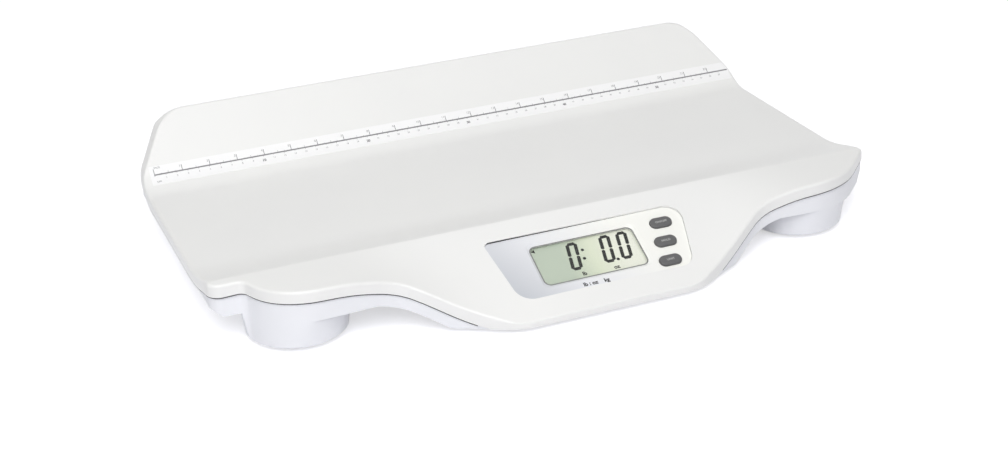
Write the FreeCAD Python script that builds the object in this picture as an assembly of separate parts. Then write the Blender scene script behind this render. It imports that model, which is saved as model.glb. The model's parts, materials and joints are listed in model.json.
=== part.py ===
"""Digital baby weighing scale.

A white two-part moulded body. The top shell is one sheet: a leaning back wall, a nearly flat tray
floor, a ramp up to a crease, and in front of the crease an apron that is flat over the front pods
and falls to the console nose between them. The bottom shell closes it from below and carries four
round pods, each with a load cell and a foot.

Frame: the origin is on the table under the centre of the object, +X to the right seen from the
front, +Y to the back, +Z up. Lengths in millimetres, angles in degrees.
"""
import FreeCAD, Part
import math
import os
from FreeCAD import Placement, Rotation, Vector

os.makedirs("parts", exist_ok=True)

# Overall size
LENGTH = 597.0
DEPTH = 374.5
HEIGHT = 99.8

# Tray profile, seen from the side
RIM_LAND = 3.0          # flat top of the back wall
WALL_LEAN = 46.5        # back wall above the horizontal
WALL_R = 40.0           # hollow between floor and back wall
FLOOR_Z = 44.0
RAMP_ANGLE = 14.5
RAMP_R = 120.0
RIDGE_FROM_NOSE = 94.8  # crease to the foremost point
RIDGE_RISE = 11.6       # crease above the floor
RIDGE_R = 4.0
RIDGE_OVERRUN = 14.0    # how far the apron's cutting surface runs behind the crease
POD_SLOPE = 2.0         # fall of the apron over the pods
NOSE_SLOPE = 26.0       # fall of the apron over the console
NOSE_FLAT = 100.0       # half width at the full nose slope
NOSE_FADE = 222.0       # half width at which the pod slope is reached
FADE_STEPS = 6          # sections between the two

# Front view of the body
WALL_BREAK_RISE = 9.8   # above the floor, where the ends of the back wall start to lean in
RIM_SHORTER = 33.8      # the rim stops short of the ends by this much
WALL_BREAK_R = 25.0
WALL_TOP_R = 38.0

# Plan of the body
BACK_CORNER_R = 6.0
CORNER_AHEAD = 10.0     # left front corner, ahead of the crease
LEFT_CORNER_R = 12.0
NOOK_R = 8.0            # hollow corner between the left corner and the round front over its pod
LEFT_FLANK = (41.0, 23.6)   # from the pod's middle, and its plan angle from the end face
LEFT_FRONT_R = 50.0
RIGHT_FLANK = (49.0, 45.0)
RIGHT_FRONT_R = 70.0
POD_FRONT = 43.0        # crest of the front edge over the pods, from the foremost point
RECESS_FROM_POD = 71.8  # where the front edge turns forward to the nose
RECESS_BACK = 4.5       # that place is this much behind the crest
RECESS_R = 45.0
NOSE_X = 8.0            # the console stands a little right of centre
NOSE_HALF = 79.0
NOSE_CORNER_R = 45.0
NOSE_Z = 4.0            # lowest edge of the nose

# Shell walls and the seam
SKIN = 3.0
LIP = 10.0              # height of the top shell's edge
LIP_R = 2.5
RIM_R = 1.2             # back edge of the rim
SEAM_GAP = 0.7
TONGUE = 1.4            # rim of the bottom shell that stands up inside the lip
TONGUE_RISE = 4.0
SKIRT_STEP = 1.0        # the bottom shell stands back from the lip
SKIRT = 11.0            # depth of the bottom shell's edge below the seam
BOTTOM_WALL = 2.5
BELLY_UNDER_FLOOR = 17.0
END_TAPER = 10.0        # the bottom shell's ends lean in by this much
END_TAPER_RISE = 7.0
OVERHANG = 37.25        # how far the back wall reaches past the bottom shell
NOSE_BOX_HALF = 106.0   # half width of the box under the console
NOSE_BOX_DEPTH = 79.0   # its front to back size, from the foremost point

# Pods and what stands in them
POD_FROM_END = 69.7
POD_FROM_NOSE = 90.75
POD_FROM_RIM = 89.25
POD_R = 45.2
POD_FOOT_R = 41.5
POD_TAPER_Z = 31.0      # the pods taper below this height
POD_Z = 3.5
POD_EDGE = 1.6          # chamfer round a pod's foot
FOOT_R = 20.0
FOOT_PLAY = 0.6         # running gap round the foot seat
FOOT_FLANGE = 2.5       # how far the seat's flange reaches past its disc
FOOT_FLANGE_THICK = 1.2
SEAT_Z = 2.0            # underside of the foot seat's rim
RUBBER_SUNK = 1.0       # how deep the rubber sits in the seat
RUBBER_R = 17.8
CELL_RISE = 6.0         # load cell above the pod's floor
CELL_SIZE = (66.0, 30.0, 1.6)
CELL_SCREW_X = 28.5
CELL_TONGUE = 12.0
CELL_SLOT = 2.0
CELL_POST_R = 3.8
CELL_BOSS_R = 5.0

# Stiffening ribs under the back wall's overhang
OVERHANG_RIBS = 13
RIB_THICK = 1.6

# Case screws
SCREW_R = 1.5
SCREW_HEAD_R = 3.0
SCREW_HEAD = 2.2
CASE_BOSS_R = 6.0
CASE_POST_R = 4.5
CASE_BOSS = 6.0         # its height
CASE_SEAT = 2.5         # wall under the screw head
CASE_SCREW_TIP = 2.0    # left between the screw's tip and the tray's underside
END_SCREW_IN = 36.5     # from the end
MID_SCREW_X = 120.0
BACK_SCREW_IN = 75.25   # from the rim
FRONT_SCREW_BEHIND = 42.5   # behind the crease
NOSE_SCREW_X = 70.0     # from the console's middle
NOSE_SCREW_AHEAD = 11.5     # ahead of the crease

# Console, in its own plane: u along +X from the middle, v up the slope from the crease and w out
# of the surface
PANEL = [(-72, -19.5, 5), (-62, -84, 16), (92, -84, 14), (108, -19.5, 14)]
PANEL_SUNK = 1.8        # panel face below the apron
PANEL_THICK = 1.2
PANEL_GAP = 0.25
PAD_THICK = 2.0         # shell left under the panel
PAD_RIM = 4.0           # pad past the panel
LCD = (-36.5, -73.0, 57.5, -31.0)
LCD_R = 6.0
LCD_BEVEL = 2.0
WINDOW_RIM = 1.5        # lens past the opening in the panel
WINDOW_THICK = 1.0
WINDOW_GAP = 0.15
GLASS_RIM = 3.0
GLASS_THICK = 2.2
BOARD_DROP = 5.0        # pad's underside to the board
BOARD = [(-52, -24, 3), (-52, -82, 3), (96, -82, 3), (102, -24, 3)]
BOARD_THICK = 1.6
BOARD_POSTS = [(-48, -28), (-48, -78), (98.5, -28), (91, -78)]
BOARD_POST_R = 2.8
BOARD_SCREW_R = 1.2
HOLDER_WALL = 1.6
BACKLIGHT_THICK = 2.4
CHIP_AT = (2.0, -48.0)
CHIP_SIZE = (12.0, 12.0, 1.6)
BUZZER_AT = (-30.0, -40.0)
BUZZER_R = 6.0
BUZZER_HEIGHT = 4.5

# Keys
KEY_FIRST = (83.6, -35.3)
KEY_STEP = (-4.6, -19.9)
KEY_SIZE = (20.0, 10.5)
KEY_RISE = 2.2          # above the panel face
KEY_GAP = 0.3
KEY_TRAVEL = 1.0
KEY_FLANGE = 1.0
KEY_FLANGE_THICK = 1.0
KEY_STEM_R = 2.5
KEY_CROWN = 0.8
MAT_THICK = 0.8
DOME_R = 3.5
DOME_HEIGHT = 0.5

# Battery compartment, four AAA cells side by side
CELLS = 4
BATTERY_R = 5.25
BATTERY_LENGTH = 44.5
BATTERY_NUB = (1.9, 0.9)
BATTERY_PITCH = 10.9
BATTERY_GAP = 0.3
BATTERY_FROM_RIM = 127.25
SPRING = 3.0
CONTACT = 0.5
BOX_WALL = 5.5
BOX_ROOF = 1.5
BOX_END = 4.0
BLISTER = 3.0           # compartment's rim below the belly
DOOR_THICK = 2.0
DOOR_TONGUE = 1.6
DOOR_TONGUE_THICK = 1.2
DOOR_GAP = 0.3
DOOR_RIM = 1.8          # door past the compartment on each side

# Measuring tape
TAPE_FROM_FOOT = (2.7, 16.7)    # from the back wall's foot line, along Y
TAPE_END = (8.0, 4.0)           # from the left and the right end
TAPE_THICK = 0.3
TAPE_EDGE = 1.5         # kept clear of the body's outline


# Plane geometry: outlines are lists of (a, b, corner radius)

def direction(start, end):
    length = math.hypot(end[0] - start[0], end[1] - start[1])
    return (end[0] - start[0]) / length, (end[1] - start[1]) / length


def cross(first, second):
    return first[0] * second[1] - first[1] * second[0]


def inset(corners, distance, closed):
    """The same outline moved to its left by a distance, with the corner radii that go with it."""
    count = len(corners)
    spans = range(count if closed else count - 1)
    ways = [direction(corners[i], corners[(i + 1) % count]) for i in spans]
    shifted = [(corners[i][0] - way[1] * distance, corners[i][1] + way[0] * distance)
               for i, way in enumerate(ways)]
    moved = []
    for i, (a, b, radius) in enumerate(corners):
        if not closed and i in (0, count - 1):
            way = ways[min(i, count - 2)]
            moved.append((a - way[1] * distance, b + way[0] * distance, radius))
            continue
        before, after = ways[i - 1], ways[i]
        origin, target = shifted[i - 1], shifted[i]
        turn = cross(before, after)
        gap = (target[0] - origin[0], target[1] - origin[1])
        along = cross(gap, after) / turn
        new_radius = radius - math.copysign(distance, turn) if radius else 0.0
        moved.append((origin[0] + before[0] * along, origin[1] + before[1] * along,
                      max(new_radius, 0.0)))
    return moved


def outline_edges(corners, closed, place):
    """Lines and corner arcs through an outline; place turns a plane point into a vector."""
    count = len(corners)
    stops = []
    for i, (a, b, radius) in enumerate(corners):
        if radius <= 0.0 or (not closed and i in (0, count - 1)):
            stops.append(((a, b), None, (a, b)))
            continue
        before = direction(corners[i - 1], corners[i])
        after = direction(corners[i], corners[(i + 1) % count])
        turn = math.atan2(cross(before, after), before[0] * after[0] + before[1] * after[1])
        reach = radius * math.tan(abs(turn) / 2)
        start = (a - before[0] * reach, b - before[1] * reach)
        end = (a + after[0] * reach, b + after[1] * reach)
        bulge = radius / math.cos(turn / 2) - radius
        inward = direction((0, 0), (after[0] - before[0], after[1] - before[1]))
        stops.append((start, (a + inward[0] * bulge, b + inward[1] * bulge), end))
    edges = []
    for i, (start, middle, end) in enumerate(stops):
        if middle:
            edges.append(Part.Arc(place(*start), place(*middle), place(*end)).toShape())
        if closed or i < count - 1:
            following = stops[(i + 1) % count][0]
            if math.hypot(following[0] - end[0], following[1] - end[1]) > 1e-6:
                edges.append(Part.makeLine(place(*end), place(*following)))
    return edges


def prism(corners, low, high):
    """A closed plan outline extruded from z = low to z = high."""
    edges = outline_edges(corners, True, lambda x, y: Vector(x, y, low))
    return Part.Face(Part.Wire(edges)).extrude(Vector(0, 0, high - low))


def front_prism(corners, reach):
    """A closed outline in the front view, extruded through the whole depth."""
    edges = outline_edges(corners, True, lambda x, z: Vector(x, -reach, z))
    return Part.Face(Part.Wire(edges)).extrude(Vector(0, 2 * reach, 0))


def rounded(low, high, radius):
    """Rounded rectangle outline between two corners."""
    return [(low[0], low[1], radius), (high[0], low[1], radius),
            (high[0], high[1], radius), (low[0], high[1], radius)]


def tapered(corners, low, high, spread):
    """Prism that grows by a spread from z = low to z = high."""
    def wire(outline, z):
        return Part.Wire(outline_edges(outline, True, lambda x, y: Vector(x, y, z)))

    wires = [wire(corners, low), wire(inset(corners, -spread, closed=True), high)]
    return Part.makeLoft(wires, True, True)


def box(low, high):
    return Part.makeBox(*[b - a for a, b in zip(low, high)], Vector(*low))


def disc(x, y, low, high, radius):
    return Part.makeCylinder(radius, high - low, Vector(x, y, low))


def fused(shapes):
    shapes = list(shapes)
    return shapes[0].fuse(shapes[1:]) if len(shapes) > 1 else shapes[0]


def save(name, shape):
    shape.exportStep("parts/%s.step" % name)
    solids = shape.Solids
    print("%-26s solids %d valid %s volume %.1f" % (
        name, len(solids), shape.isValid(), sum(s.Volume for s in solids)))


# The body's surfaces

RIM_Y = DEPTH / 2
NOSE_Y = -DEPTH / 2
RIDGE_Y = NOSE_Y + RIDGE_FROM_NOSE
RIDGE_Z = FLOOR_Z + RIDGE_RISE
WALL_FOOT_Y = RIM_Y - RIM_LAND - (HEIGHT - FLOOR_Z) / math.tan(math.radians(WALL_LEAN))
BELLY_Z = FLOOR_Z - BELLY_UNDER_FLOOR
REAR_Y = RIM_Y - OVERHANG
POD_X = LENGTH / 2 - POD_FROM_END
POD_FRONT_Y = NOSE_Y + POD_FROM_NOSE
POD_BACK_Y = RIM_Y - POD_FROM_RIM
BEYOND = LENGTH / 5     # how far cutting solids run past the body

CELL_Z = POD_Z + BOTTOM_WALL + CELL_RISE
BATTERY_Y = RIM_Y - BATTERY_FROM_RIM
BLISTER_Z = BELLY_Z - BLISTER
CASE_JOINT_Z = BELLY_Z + CASE_BOSS
CASE_SCREW_TOP = FLOOR_Z - SKIN - CASE_SCREW_TIP

pod_places = [("front_left", -POD_X, POD_FRONT_Y), ("front_right", POD_X, POD_FRONT_Y),
              ("back_left", -POD_X, POD_BACK_Y), ("back_right", POD_X, POD_BACK_Y)]
case_screws = [(x, y) for half, y in (
    (LENGTH / 2 - END_SCREW_IN, (POD_FRONT_Y + POD_BACK_Y) / 2),
    (MID_SCREW_X, RIM_Y - BACK_SCREW_IN),
    (MID_SCREW_X, RIDGE_Y + FRONT_SCREW_BEHIND)) for x in (-half, half)]
case_screws += [(NOSE_X + side * NOSE_SCREW_X, RIDGE_Y - NOSE_SCREW_AHEAD) for side in (-1, 1)]


def tray_profile():
    """Side view of the back wall, the floor and the ramp, which runs on past the crease."""
    lean, ramp = math.radians(WALL_LEAN), math.radians(RAMP_ANGLE)
    ramp_foot = RIDGE_Y + (RIDGE_Z - FLOOR_Z) / math.tan(ramp)
    return [(RIM_Y - RIM_LAND + BEYOND / math.tan(lean), HEIGHT + BEYOND, 0),
            (WALL_FOOT_Y, FLOOR_Z, WALL_R),
            (ramp_foot, FLOOR_Z, RAMP_R),
            (NOSE_Y - BEYOND, RIDGE_Z + math.tan(ramp) * (RIDGE_FROM_NOSE + BEYOND), 0)]


def apron_profile(x, depth):
    """Side view of the apron's slope at x, a depth under its surface. Behind the crease it rises
    clear of the tray."""
    angle = math.radians(apron_slope(x))
    behind = RIDGE_Y + RIDGE_OVERRUN
    drop = depth / math.cos(angle)

    def height(y):
        return RIDGE_Z + (y - RIDGE_Y) * math.tan(angle) - drop

    front = NOSE_Y - BEYOND
    top = HEIGHT + BEYOND
    return [(RIM_Y + BEYOND, top, 0), (behind, top, 0), (behind, height(behind), 0),
            (front, height(front), 0)]


def apron_slope(x):
    """The apron's fall at x: full over the console, fading smoothly to the pods' value."""
    share = (NOSE_FADE - abs(x - NOSE_X)) / (NOSE_FADE - NOSE_FLAT)
    share = min(max(share, 0.0), 1.0)
    return POD_SLOPE + (NOSE_SLOPE - POD_SLOPE) * (3 * share ** 2 - 2 * share ** 3)


def section(path, x):
    """Closed side section at x of all that lies under a path from the back to the front."""
    edges = outline_edges(path, False, lambda y, z: Vector(x, y, z))
    (back, top), (front, low) = path[0][:2], path[-1][:2]
    ground = -3 * BEYOND
    frame = [(front, low), (front, ground), (back, ground), (back, top)]
    edges += [Part.makeLine(Vector(x, *a), Vector(x, *b)) for a, b in zip(frame, frame[1:])]
    return Part.Wire(edges)


def under(depth):
    """Solid of all that lies more than a depth under the tray and the apron."""
    reach = LENGTH / 2 + 30
    tray = Part.Face(section(inset(tray_profile(), depth, closed=False), -reach))
    tray = tray.extrude(Vector(2 * reach, 0, 0))
    fade = (NOSE_FADE - NOSE_FLAT) / FADE_STEPS
    reaches = [NOSE_FLAT / 2, NOSE_FLAT] + [NOSE_FLAT + fade * i for i in range(1, FADE_STEPS + 1)]
    reaches += [NOSE_FADE + 2 * fade, reach + NOSE_X]
    stations = sorted([NOSE_X - r for r in reaches] + [NOSE_X] + [NOSE_X + r for r in reaches])
    wires = [section(apron_profile(x, depth), x) for x in stations]
    return tray.common(Part.makeLoft(wires, True, False))


def plan(distance):
    """Plan of the whole body, moved in by a distance."""
    half = LENGTH / 2
    corner = RIDGE_Y - CORNER_AHEAD
    crest = NOSE_Y + POD_FRONT

    def flank_x(flank, y):
        """How far from the middle a flank is at y; its line passes the pod's middle at a
        distance."""
        reach, lean = flank[0], math.radians(flank[1])
        return POD_X + (reach + (y - POD_FRONT_Y) * math.sin(lean)) / math.cos(lean)

    reach, lean = RIGHT_FLANK[0], math.radians(RIGHT_FLANK[1])
    tip = POD_FRONT_Y + ((half - POD_X) * math.cos(lean) - reach) / math.sin(lean)
    recess = POD_X - RECESS_FROM_POD
    corners = [(-half, corner, LEFT_CORNER_R),
               (-flank_x(LEFT_FLANK, corner), corner, NOOK_R),
               (-flank_x(LEFT_FLANK, crest), crest, LEFT_FRONT_R),
               (-recess, crest + RECESS_BACK, RECESS_R),
               (NOSE_X - NOSE_HALF, NOSE_Y, NOSE_CORNER_R),
               (NOSE_X + NOSE_HALF, NOSE_Y, NOSE_CORNER_R),
               (recess + 2 * NOSE_X, crest + RECESS_BACK, RECESS_R),
               (flank_x(RIGHT_FLANK, crest), crest, RIGHT_FRONT_R),
               (half, tip, 0),
               (half, RIM_Y, BACK_CORNER_R), (-half, RIM_Y, BACK_CORNER_R)]
    return inset(corners, distance, closed=True)


def body_prism(distance, low, high):
    """The plan, moved in by a distance and extruded."""
    return prism(plan(distance), low, high)


def front_view(distance):
    half = LENGTH / 2
    top = half - RIM_SHORTER
    knee = FLOOR_Z + WALL_BREAK_RISE
    corners = [(-half, -BEYOND, 0), (half, -BEYOND, 0), (half, knee, WALL_BREAK_R),
               (top, HEIGHT, WALL_TOP_R), (-top, HEIGHT, WALL_TOP_R),
               (-half, knee, WALL_BREAK_R)]
    return front_prism(inset(corners, distance, closed=True), DEPTH)


def envelope(distance, low):
    """The whole body's outside down to a height, moved in by a distance."""
    solid = body_prism(distance, low, HEIGHT + BEYOND / 4)
    return solid.common(front_view(distance)).common(under(distance))


def above(depth):
    """Solid of all that lies less than a depth under the tray and the apron."""
    sky = box((-LENGTH, -DEPTH, -BEYOND), (LENGTH, DEPTH, HEIGHT + BEYOND / 2))
    return sky.cut(under(depth))


# Top shell

console = Placement(Vector(0, RIDGE_Y, RIDGE_Z), Rotation(Vector(1, 0, 0), NOSE_SLOPE))

panel_face = -PANEL_SUNK
panel_seat = panel_face - PANEL_THICK
pad_face = panel_seat - PAD_THICK
board_face = pad_face - BOARD_DROP
board_back = board_face - BOARD_THICK
key_places = [(KEY_FIRST[0] + i * KEY_STEP[0], KEY_FIRST[1] + i * KEY_STEP[1]) for i in range(3)]


def on_console(shape):
    """A shape modelled in the console's own axes, put in its place."""
    placed = shape.copy()
    placed.Placement = console
    return placed


def pill(centre, grow, low, high):
    """Key outline about a centre, grown all round, between two heights."""
    half_u, half_v = KEY_SIZE[0] / 2 + grow, KEY_SIZE[1] / 2 + grow
    corners = rounded((centre[0] - half_u, centre[1] - half_v),
                      (centre[0] + half_u, centre[1] + half_v), half_v - 0.01)
    return prism(corners, low, high)


def lcd_block(grow, radius, low, high):
    """Block with the display's outline, grown all round."""
    corners = rounded((LCD[0] - grow, LCD[1] - grow), (LCD[2] + grow, LCD[3] + grow), radius)
    return prism(corners, low, high)


def crease(solid):
    """The edge where the ramp meets the apron."""
    return [e for e in solid.Edges if e.Length > LENGTH / 2
            and abs(e.CenterOfMass.y - RIDGE_Y) < 0.5 and abs(e.CenterOfMass.z - RIDGE_Z) < 0.5]


def lip_edges(solid, wanted):
    """Upper edges of the upright sides, at the places that are wanted."""
    found = []
    for edge in solid.Edges:
        middle = edge.valueAt((edge.FirstParameter + edge.LastParameter) / 2)
        faces = solid.ancestorsOfType(edge, Part.Face)
        tilts = sorted(abs(f.normalAt(*f.Surface.parameter(middle)).z) for f in faces)
        upper = len(tilts) == 2 and tilts[0] < 0.02 and tilts[1] > 0.3 and middle.z > NOSE_Z + 0.5
        if upper and wanted(middle):
            found.append(edge)
    return found


def rounded_outside():
    """The outside with the lip, the crease and the rim rounded, in the order that leaves each
    next edge whole."""
    knee = FLOOR_Z + WALL_BREAK_RISE
    solid = envelope(0, NOSE_Z)
    solid = solid.makeFillet(LIP_R, lip_edges(solid, lambda p: p.y < RIDGE_Y - 1))
    solid = solid.makeFillet(RIDGE_R, crease(solid))
    solid = solid.makeFillet(LIP_R, lip_edges(solid, lambda p: p.y > RIDGE_Y and p.z < knee))
    rim = [e for e in solid.Edges if e.CenterOfMass.z > knee and e.BoundBox.YMin > RIM_Y - 0.2]
    return solid.makeFillet(RIM_R, rim)


def top_shell():
    sheet = rounded_outside().cut(envelope(SKIN, -BEYOND)).common(above(LIP))

    pad = on_console(prism(inset(PANEL, -PAD_RIM, closed=True), pad_face, panel_seat + 0.5))
    bed = under(SKIN / 2)
    posts = [disc(x, y, CASE_JOINT_Z, HEIGHT, CASE_POST_R).common(bed) for x, y in case_screws]
    board_posts = [on_console(disc(u, v, board_face, pad_face, BOARD_POST_R))
                   for u, v in BOARD_POSTS]
    shell = fused([sheet, pad] + posts + board_posts + overhang_ribs())

    cuts = [on_console(prism(inset(PANEL, -PANEL_GAP, closed=True), panel_seat, SKIN))]
    lens = WINDOW_RIM + WINDOW_GAP
    cuts.append(on_console(lcd_block(lens, LCD_R + lens, panel_seat - WINDOW_THICK, 0)))
    cuts.append(on_console(lcd_block(0, LCD_R, pad_face - 1, 0)))
    cuts += [on_console(pill(place, KEY_GAP, pad_face - 1, 0)) for place in key_places]
    cuts += [disc(x, y, CASE_JOINT_Z - 1, CASE_SCREW_TOP + 0.5, SCREW_R) for x, y in case_screws]
    cuts += [on_console(disc(u, v, board_face - 1, pad_face + 0.5, BOARD_SCREW_R))
             for u, v in BOARD_POSTS]
    return shell.cut(fused(cuts))


def overhang_ribs():
    """Upright ribs across the underside of the back wall, behind the bottom shell."""
    band = above(LIP).common(envelope(SKIN / 2, -BEYOND))
    span = LENGTH - 2 * (RIM_SHORTER + LIP)
    ribs = []
    for i in range(OVERHANG_RIBS):
        x = -span / 2 + span * i / (OVERHANG_RIBS - 1)
        slab = box((x - RIB_THICK / 2, REAR_Y + SEAM_GAP, 0), (x + RIB_THICK / 2, RIM_Y, HEIGHT))
        ribs.append(slab.common(band))
    return ribs


# Bottom shell

def nose_box(wall):
    """Box under the console, moved in by a wall."""
    corners = [(NOSE_X - NOSE_BOX_HALF, NOSE_Y - 10, 0), (NOSE_X + NOSE_BOX_HALF, NOSE_Y - 10, 0),
               (NOSE_X + NOSE_BOX_HALF, NOSE_Y + NOSE_BOX_DEPTH, 4),
               (NOSE_X - NOSE_BOX_HALF, NOSE_Y + NOSE_BOX_DEPTH, 4)]
    return prism(inset(corners, wall, closed=True), NOSE_Z + wall, HEIGHT)


def bottom_form(wall):
    """The underside's form without the pods, moved in by a wall."""
    deep = box((-LENGTH, -DEPTH, BELLY_Z + wall), (LENGTH, DEPTH, HEIGHT))
    front = box((-LENGTH, -DEPTH, -BEYOND), (LENGTH, RIDGE_Y, HEIGHT))
    skirt = above(LIP + SEAM_GAP + SKIRT - wall).common(front)
    half = LENGTH / 2 - SKIRT_STEP
    foot = half - END_TAPER
    knee = BELLY_Z + END_TAPER_RISE
    ends = [(-foot, -BEYOND, 0), (foot, -BEYOND, 0), (foot, BELLY_Z, 0), (half, knee, 4),
            (half, HEIGHT, 0), (-half, HEIGHT, 0), (-half, knee, 4), (-foot, BELLY_Z, 0)]
    ends = front_prism(inset(ends, wall, closed=True), DEPTH)
    rear = box((-LENGTH, -DEPTH, NOSE_Z + wall), (LENGTH, REAR_Y - wall, HEIGHT))
    return fused([deep, skirt, nose_box(wall)]).common(ends).common(rear)


def tapered_pod(x, y, wall):
    """A pod's outside, moved in by a wall: a cylinder above, tapering to its foot."""
    upper = disc(x, y, POD_TAPER_Z, BELLY_Z + LIP, POD_R - wall)
    foot = Part.makeCone(POD_FOOT_R - wall, POD_R - wall, POD_TAPER_Z - POD_Z - wall,
                         Vector(x, y, POD_Z + wall))
    return upper.fuse(foot)


def bottom_shell():
    seam = under(LIP + SEAM_GAP)
    walls = body_prism(SKIRT_STEP, 0, HEIGHT)
    skirt = walls.common(seam)
    inside = SKIN + SEAM_GAP
    tongue = body_prism(inside, 0, HEIGHT).common(under(LIP - TONGUE_RISE))
    tongue = tongue.common(front_view(inside))
    floor = body_prism(inside, NOSE_Z, NOSE_Z + BOTTOM_WALL).common(under(inside))
    outside = bottom_form(0).common(fused([skirt, tongue, floor.common(nose_box(0))]))
    pods = []
    for name, x, y in pod_places:
        pod = tapered_pod(x, y, 0)
        rim = [e for e in pod.Edges if abs(e.CenterOfMass.z - POD_Z) < 0.1]
        pods.append(pod.makeChamfer(POD_EDGE, rim).common(seam).common(walls))
    shell = fused([outside] + pods)

    inner_walls = body_prism(inside + TONGUE, 0, HEIGHT)
    cavity = bottom_form(BOTTOM_WALL).common(inner_walls)
    wells = [tapered_pod(x, y, BOTTOM_WALL).common(inner_walls) for name, x, y in pod_places]
    shell = shell.cut(fused([cavity] + wells))

    half = LENGTH / 2 - inside
    rear = box((-half, REAR_Y - BOTTOM_WALL, BELLY_Z + 1), (half, REAR_Y, HEIGHT))
    rear = rear.common(under(inside)).common(front_view(inside))
    return fused([shell, rear] + bottom_details()).cut(fused(bottom_cuts()))


def bottom_details():
    """Bosses, load cell posts and the battery compartment's walls."""
    bosses = [disc(x, y, BELLY_Z, CASE_JOINT_Z, CASE_BOSS_R) for x, y in case_screws]
    posts = [disc(x + side * CELL_SCREW_X, y, POD_Z + BOTTOM_WALL - 0.5, CELL_Z, CELL_POST_R)
             for name, x, y in pod_places for side in (-1, 1)]
    wall = BOX_WALL
    block = box((-box_half_x - wall, box_front, BLISTER_Z),
                (box_half_x + wall, box_back, box_top + BOX_ROOF))
    return bosses + posts + [block]


box_half_x = (BATTERY_LENGTH + SPRING + 2 * CONTACT) / 2
box_half_y = CELLS * BATTERY_PITCH / 2 + BATTERY_GAP
door_front = BATTERY_Y - box_half_y - DOOR_RIM
door_back = BATTERY_Y + box_half_y + DOOR_RIM
box_front = BATTERY_Y - box_half_y - BOX_END
box_back = door_back
door_half = box_half_x + DOOR_RIM
door_top = BLISTER_Z + DOOR_THICK + DOOR_GAP
battery_z = door_top + DOOR_GAP + BATTERY_R
box_top = battery_z + BATTERY_R + BATTERY_GAP


def bottom_cuts():
    """Screw seats, foot holes and the battery compartment's inside."""
    cuts = []
    for x, y in case_screws:
        cuts.append(disc(x, y, BELLY_Z - 1, CASE_JOINT_Z - CASE_SEAT, SCREW_HEAD_R + 0.4))
        cuts.append(disc(x, y, BELLY_Z - 1, CASE_JOINT_Z + 1, SCREW_R + 0.3))
    for name, x, y in pod_places:
        cuts.append(disc(x, y, POD_Z - 1, POD_Z + BOTTOM_WALL + 1, FOOT_R + FOOT_PLAY))
        cuts += [disc(x + side * CELL_SCREW_X, y, POD_Z + BOTTOM_WALL, CELL_Z + 1, BOARD_SCREW_R)
                 for side in (-1, 1)]
    cuts.append(box((-box_half_x, BATTERY_Y - box_half_y, BLISTER_Z - 1),
                    (box_half_x, BATTERY_Y + box_half_y, box_top)))
    slot = door_half + DOOR_GAP
    groove = slot + DOOR_TONGUE
    groove_low = BLISTER_Z + DOOR_THICK - DOOR_TONGUE_THICK - DOOR_GAP
    past = box_back + BOX_END
    cuts.append(box((-slot, door_front - DOOR_GAP, BLISTER_Z - 1), (slot, past, door_top)))
    cuts.append(box((-groove, door_front - DOOR_GAP, groove_low), (groove, past, door_top)))
    return cuts


# Feet and load cells

def foot_seat(x, y):
    """Stepped disc that carries the rubber and presses on the load cell's tongue."""
    floor = POD_Z + BOTTOM_WALL + FOOT_PLAY / 2
    seat = fused([disc(x, y, SEAT_Z, floor, FOOT_R),
                  disc(x, y, floor, floor + FOOT_FLANGE_THICK, FOOT_R + FOOT_FLANGE),
                  disc(x, y, floor + FOOT_FLANGE_THICK, CELL_Z, CELL_BOSS_R)])
    return seat.cut(disc(x, y, SEAT_Z - 1, SEAT_Z + RUBBER_SUNK, RUBBER_R))


def load_cell(x, y):
    """Steel plate with a U-shaped slot round a bending tongue and a sealed gauge on the tongue."""
    long, wide, thick = CELL_SIZE
    plate = prism(rounded((x - long / 2, y - wide / 2), (x + long / 2, y + wide / 2), 3),
                  CELL_Z, CELL_Z + thick)
    reach = CELL_TONGUE / 2 + CELL_SLOT
    slot = box((x - reach - 6, y - reach, CELL_Z - 1), (x + reach + 2, y + reach, CELL_Z + thick + 1))
    tongue = box((x - reach - 8, y - CELL_TONGUE / 2, CELL_Z - 1),
                 (x + reach + 2 - CELL_SLOT, y + CELL_TONGUE / 2, CELL_Z + thick + 1))
    holes = [disc(x + side * CELL_SCREW_X, y, CELL_Z - 1, CELL_Z + thick + 1, BOARD_SCREW_R + 0.3)
             for side in (-1, 1)]
    gauge = box((x - reach - 8, y - 3, CELL_Z + thick), (x - reach - 1, y + 3, CELL_Z + thick + 0.8))
    return plate.cut(slot.cut(tongue)).cut(fused(holes)).fuse(gauge)


def screw(x, y, seat, top, shank, head):
    """Pan-head screw standing upright, driven from below."""
    return disc(x, y, seat - SCREW_HEAD, seat, head).fuse(disc(x, y, seat, top, shank))


def hung_screw(x, y, seat, low, shank, head):
    """Pan-head screw driven from above."""
    return disc(x, y, seat, seat + SCREW_HEAD * 0.7, head).fuse(disc(x, y, low, seat, shank))


# Batteries

def battery(index):
    """One cell along X; every second cell is turned round."""
    turn = 1 if index % 2 else -1
    y = BATTERY_Y + (index - (CELLS - 1) / 2) * BATTERY_PITCH
    start = turn * (box_half_x - CONTACT)
    axis = Vector(-turn, 0, 0)
    nub_r, nub = BATTERY_NUB
    tip = Part.makeCylinder(nub_r, nub, Vector(start, y, battery_z), axis)
    body = Part.makeCylinder(BATTERY_R, BATTERY_LENGTH - nub,
                             Vector(start - turn * nub, y, battery_z), axis)
    return body.fuse(tip)


def contact_plate(turn, y):
    """Flat spring-steel plate at one end of a cell."""
    x = turn * box_half_x
    size = BATTERY_R - 0.8
    low, high = sorted((x, x - turn * CONTACT))
    return box((low, y - size, battery_z - size), (high, y + size, battery_z + size))


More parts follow.
